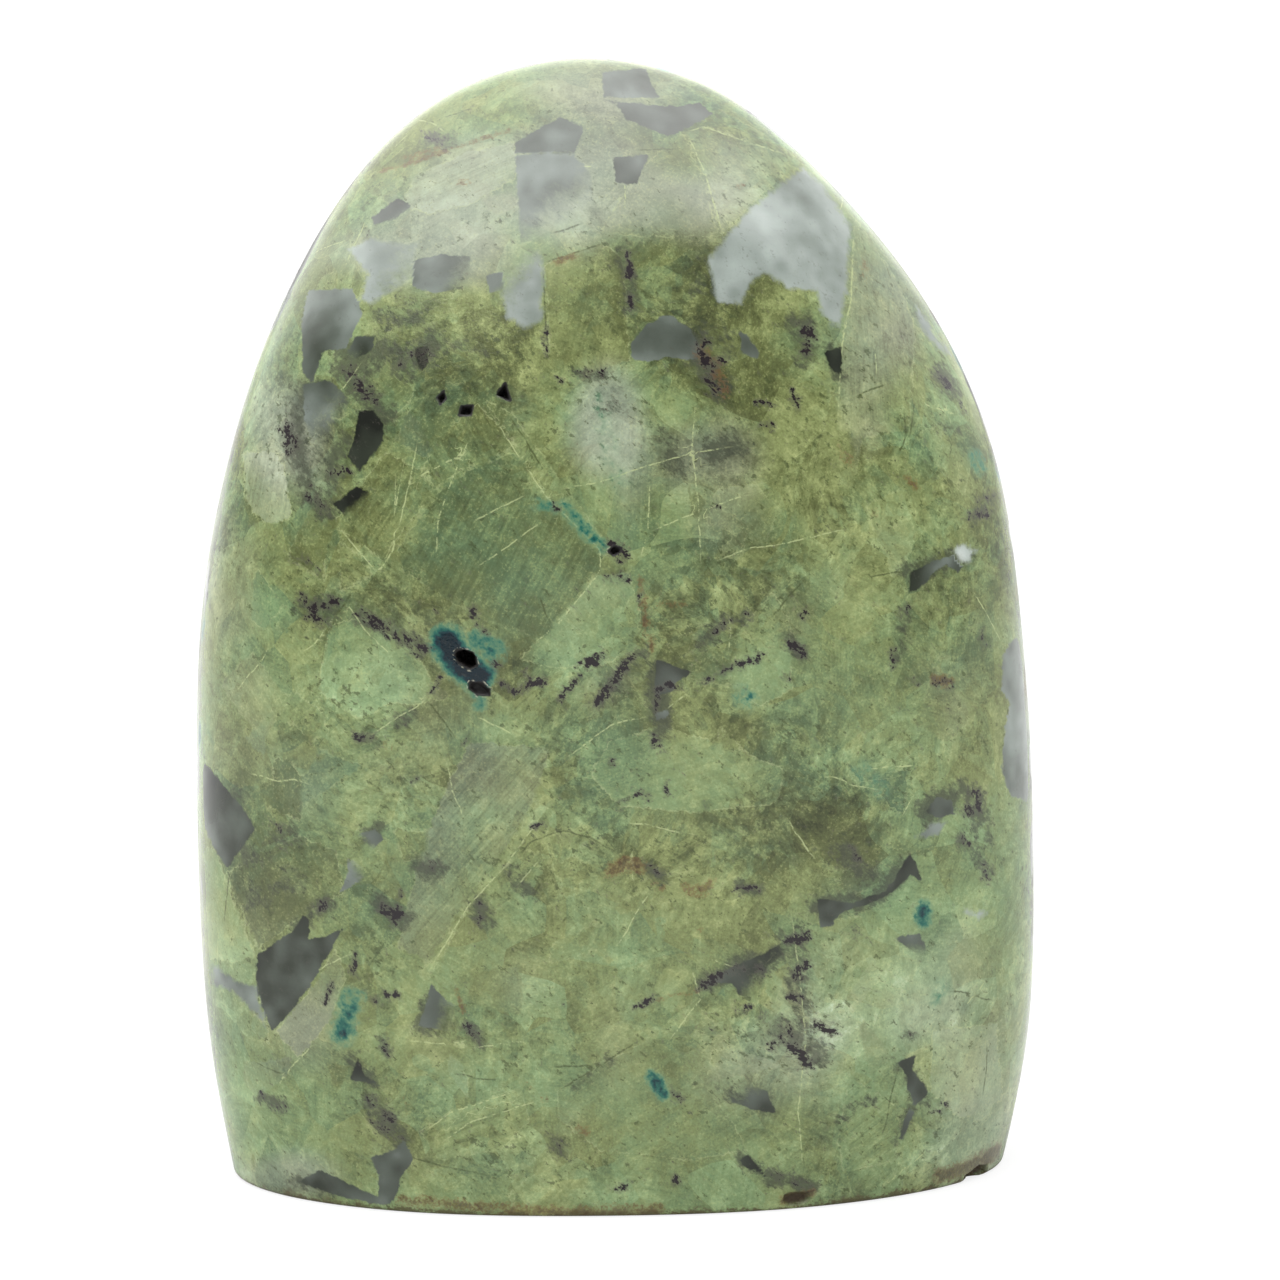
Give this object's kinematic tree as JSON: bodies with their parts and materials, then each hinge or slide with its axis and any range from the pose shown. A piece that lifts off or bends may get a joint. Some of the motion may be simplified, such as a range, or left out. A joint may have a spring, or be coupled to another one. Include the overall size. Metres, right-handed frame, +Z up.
{
  "type": "feldspar",
  "caption": "Polished free-form of natural green feldspar with grey quartz patches, standing upright on a flat sawn base.",
  "frame": {"origin": "on the resting plane, under the middle of the stone's box", "axes": "+Z up, along the height; -Y out of the front face in the picture; +X to the right of the picture"},
  "size_m": [0.077, 0.043, 0.102],
  "materials": {
    "polished_feldspar": "polished"
  },
  "bodies": {
    "root": {"feldspar": "polished_feldspar"}
  },
  "joints": []
}
